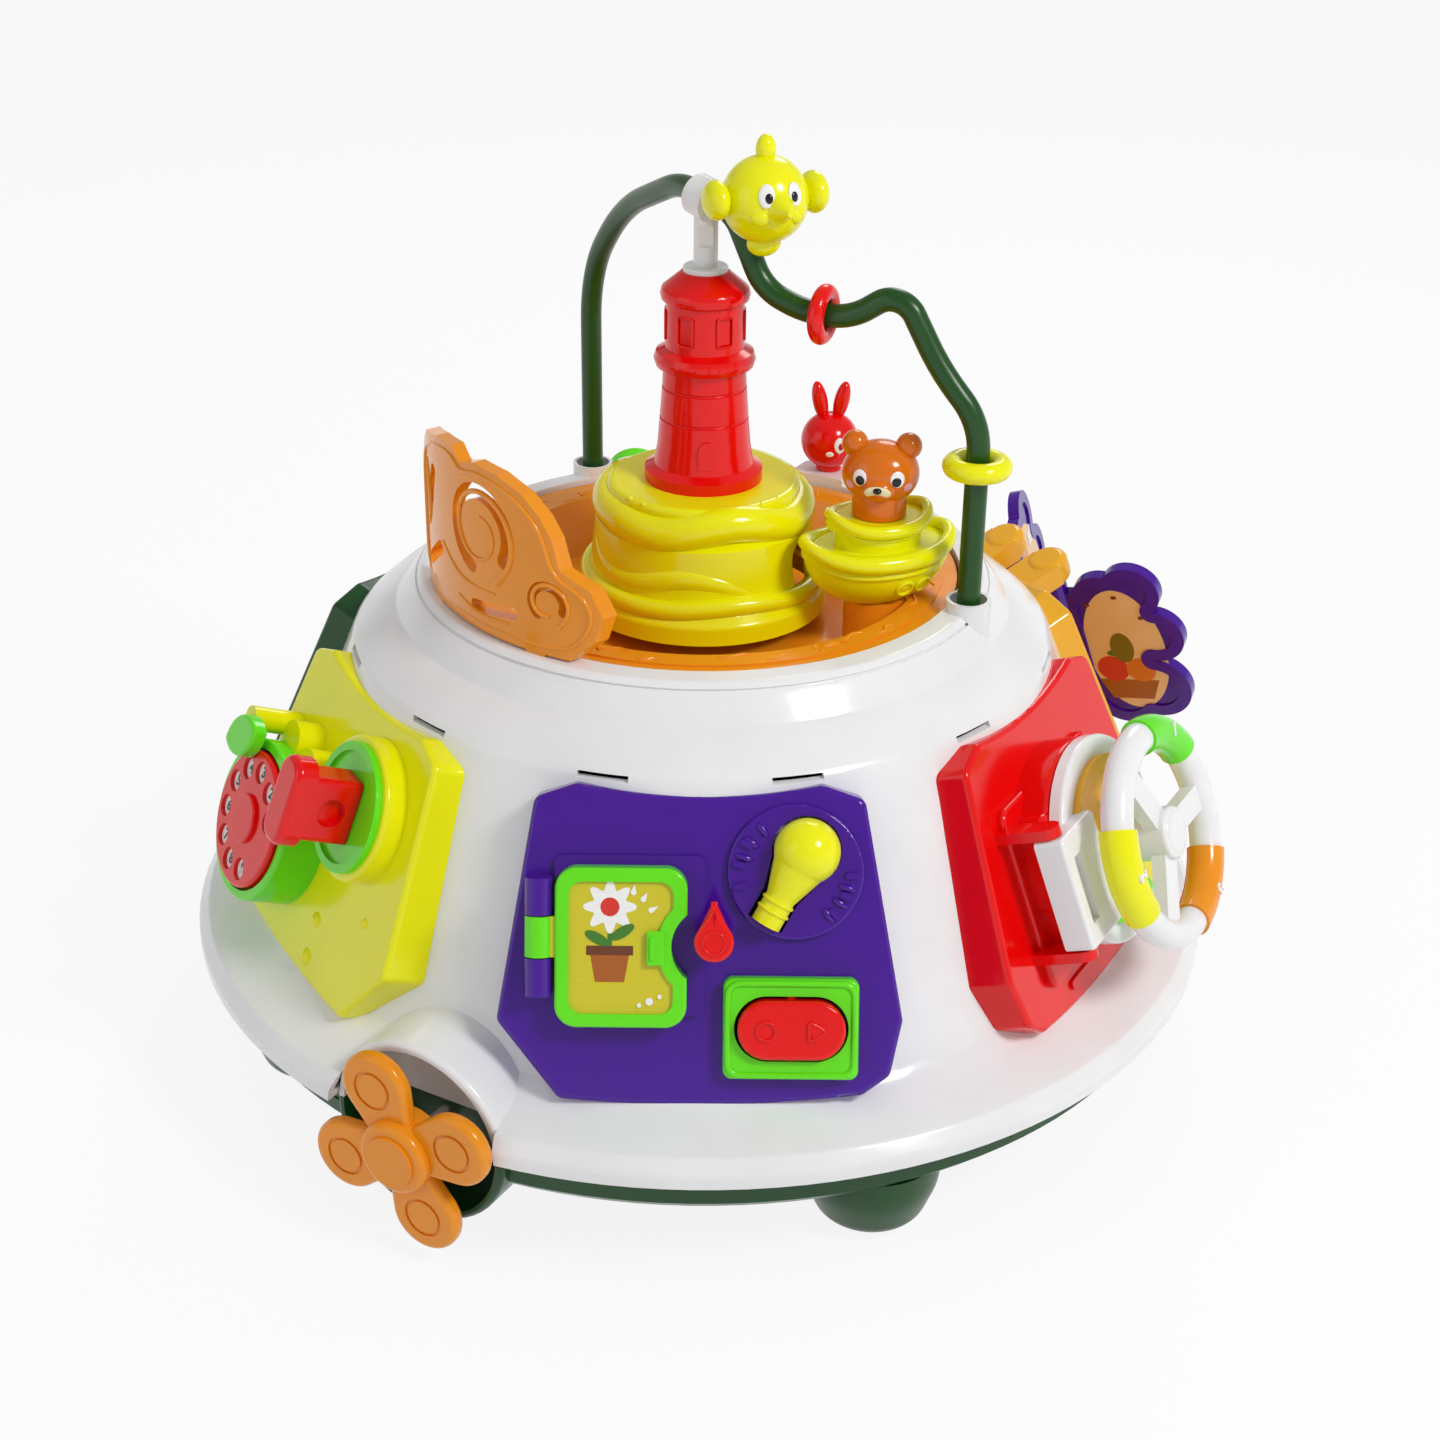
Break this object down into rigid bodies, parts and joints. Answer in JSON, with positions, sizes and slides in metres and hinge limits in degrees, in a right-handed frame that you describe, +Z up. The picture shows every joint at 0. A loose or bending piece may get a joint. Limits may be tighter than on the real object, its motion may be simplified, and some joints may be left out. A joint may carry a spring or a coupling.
{
  "type": "activity table",
  "caption": "Round floor-standing activity table with sloping side panels, a spinning bowl, a bead loop and push, turn and flip toys.",
  "frame": {"origin": "on the floor under the centre of the round body", "axes": "+Z up along the axis of the round body, -Y towards the purple panel with the small door, +X to the right of it"},
  "size_m": [0.3863, 0.38, 0.3377],
  "materials": {
    "dark_green_plastic": "glossy",
    "white_plastic": "glossy",
    "purple_plastic": "glossy",
    "yellow_plastic": "glossy",
    "red_plastic": "glossy",
    "orange_plastic": "glossy",
    "light_green_plastic": "glossy",
    "brown_orange_plastic": "satin",
    "steel": "plain",
    "spring_steel": "plain",
    "board_green": "satin",
    "speaker_black": "matt",
    "cell_jacket": "satin"
  },
  "bodies": {
    "frame": {"base_tray": "dark_green_plastic", "battery_door": "dark_green_plastic", "batteries": "cell_jacket", "base_screws": "steel", "circuit_board": "board_green", "speaker": "speaker_black", "dome_shell": "white_plastic", "panel_front": "purple_plastic", "door_pin": "steel", "rocker_frame": "light_green_plastic", "panel_front_left": "yellow_plastic", "dial_ring": "light_green_plastic", "finger_stop": "light_green_plastic", "paddle_dish": "light_green_plastic", "panel_front_right": "red_plastic", "wheel_pin": "steel", "panel_back_right": "orange_plastic", "page_pins": "steel", "panel_back": "red_plastic", "panel_back_left": "dark_green_plastic", "key_pin": "steel", "panel_screws": "steel", "button_springs": "spring_steel", "centre_post": "white_plastic", "hill": "yellow_plastic", "lighthouse": "red_plastic", "mast": "white_plastic", "loop_tube": "dark_green_plastic", "wave_plate": "orange_plastic", "feet": "dark_green_plastic", "turntable_well": "white_plastic", "propeller_hood": "white_plastic"},
    "turntable": {"turntable": "orange_plastic", "boat": "yellow_plastic"},
    "bear": {"bear": "brown_orange_plastic"},
    "bunny": {"bunny": "red_plastic"},
    "bird": {"bird": "yellow_plastic"},
    "red_bead": {"red_bead": "red_plastic"},
    "yellow_bead": {"yellow_bead": "yellow_plastic"},
    "dial": {"dial_wheel": "red_plastic"},
    "paddle": {"paddle_knob": "red_plastic"},
    "door": {"door": "light_green_plastic"},
    "latch": {"door_latch": "red_plastic"},
    "bulb": {"bulb_button": "yellow_plastic"},
    "rocker": {"rocker": "red_plastic"},
    "wheel_cover": {"wheel_base": "white_plastic", "sector_disc": "yellow_plastic"},
    "wheel": {"steering_wheel": "white_plastic", "wheel_grips": "orange_plastic"},
    "page_front": {"page_front": "purple_plastic"},
    "page_rear": {"page_rear": "purple_plastic"},
    "fruit": {"fruit_button": "red_plastic", "fruit_leaf": "light_green_plastic"},
    "key_left": {"key_left": "red_plastic"},
    "key_middle": {"key_middle": "yellow_plastic"},
    "key_right": {"key_right": "orange_plastic"},
    "propeller": {"propeller": "orange_plastic", "propeller_axle": "steel"}
  },
  "joints": [
    {"name": "turntable_spin", "type": "hinge", "parent": "frame", "child": "turntable", "pos_m": [0, 0, 0.17], "axis": [0, 0, 1], "continuous": true},
    {"name": "bear_turn", "type": "hinge", "parent": "turntable", "child": "bear", "pos_m": [0.0609, -0.02411, 0.205], "axis": [0, 0, 1], "continuous": true},
    {"name": "bunny_turn", "type": "hinge", "parent": "frame", "child": "bunny", "pos_m": [0.04945, 0.08921, 0.19], "axis": [0, 0, 1], "continuous": true},
    {"name": "bird_swing", "type": "hinge", "parent": "frame", "child": "bird", "pos_m": [0.0192, -0.017, 0.3164], "axis": [0.7487, -0.6629, 0], "range_deg": [-25, 25]},
    {"name": "red_bead_slide", "type": "slide", "parent": "frame", "child": "red_bead", "axis": [0.9133, -0.4066, -0.0235], "range_m": [-0.003, 0.003]},
    {"name": "yellow_bead_slide", "type": "slide", "parent": "frame", "child": "yellow_bead", "axis": [0, 0, 1], "range_m": [-0.044, 0.004]},
    {"name": "dial_spin", "type": "hinge", "parent": "frame", "child": "dial", "pos_m": [-0.15834, -0.05793, 0.10383], "axis": [-0.803, -0.4636, 0.3746], "continuous": true},
    {"name": "paddle_turn", "type": "hinge", "parent": "frame", "child": "paddle", "pos_m": [-0.12327, -0.09657, 0.13119], "axis": [-0.803, -0.4636, 0.3746], "range_deg": [-90, 90]},
    {"name": "door_swing", "type": "hinge", "parent": "frame", "child": "door", "pos_m": [-0.0506, -0.15372, 0.11016], "axis": [0, -0.3746, -0.9272], "range_deg": [0, 110]},
    {"name": "latch_turn", "type": "hinge", "parent": "frame", "child": "latch", "pos_m": [0.0048, -0.15628, 0.11745], "axis": [0, -0.9272, 0.3746], "range_deg": [-90, 90]},
    {"name": "bulb_press", "type": "slide", "parent": "frame", "child": "bulb", "axis": [0, 0.9272, -0.3746], "range_m": [0, 0.003], "stiffness_N_per_m": 150, "springref_m": -0.004},
    {"name": "rocker_tilt", "type": "hinge", "parent": "frame", "child": "rocker", "pos_m": [0.0297, -0.15945, 0.08691], "axis": [0, 0.3746, 0.9272], "range_deg": [-5, 5], "stiffness_Nm_per_rad": 0.05},
    {"name": "wheel_cover_swing", "type": "hinge", "parent": "frame", "child": "wheel_cover", "pos_m": [0.12062, -0.12022, 0.11454], "axis": [0.3244, -0.1873, -0.9272], "range_deg": [0, 75]},
    {"name": "steering_spin", "type": "hinge", "parent": "wheel_cover", "child": "wheel", "pos_m": [0.15015, -0.09131, 0.12011], "axis": [0.803, -0.4636, 0.3746], "continuous": true},
    {"name": "page_front_turn", "type": "hinge", "parent": "frame", "child": "page_front", "pos_m": [0.14904, 0.06988, 0.11432], "axis": [-0.3244, -0.1873, 0.9272], "range_deg": [-13, 57]},
    {"name": "page_rear_turn", "type": "hinge", "parent": "frame", "child": "page_rear", "pos_m": [0.13504, 0.09413, 0.11432], "axis": [0.3244, 0.1873, -0.9272], "range_deg": [-24, 46]},
    {"name": "fruit_press", "type": "slide", "parent": "frame", "child": "fruit", "axis": [0, -0.9272, -0.3746], "range_m": [0, 0.0035], "stiffness_N_per_m": 300, "springref_m": -0.005},
    {"name": "key_left_press", "type": "hinge", "parent": "frame", "child": "key_left", "pos_m": [-0.1219, 0.07038, 0.12649], "axis": [-0.5, -0.866, 0], "range_deg": [0, 4], "stiffness_Nm_per_rad": 0.3, "springref_deg": -6.88},
    {"name": "key_middle_press", "type": "hinge", "parent": "frame", "child": "key_middle", "pos_m": [-0.1219, 0.07038, 0.12649], "axis": [-0.5, -0.866, 0], "range_deg": [0, 4], "stiffness_Nm_per_rad": 0.3, "springref_deg": -6.88},
    {"name": "key_right_press", "type": "hinge", "parent": "frame", "child": "key_right", "pos_m": [-0.1219, 0.07038, 0.12649], "axis": [-0.5, -0.866, 0], "range_deg": [0, 4], "stiffness_Nm_per_rad": 0.3, "springref_deg": -6.88},
    {"name": "propeller_spin", "type": "hinge", "parent": "frame", "child": "propeller", "pos_m": [-0.094, -0.16281, 0.0415], "axis": [-0.5, -0.866, 0], "continuous": true}
  ]
}
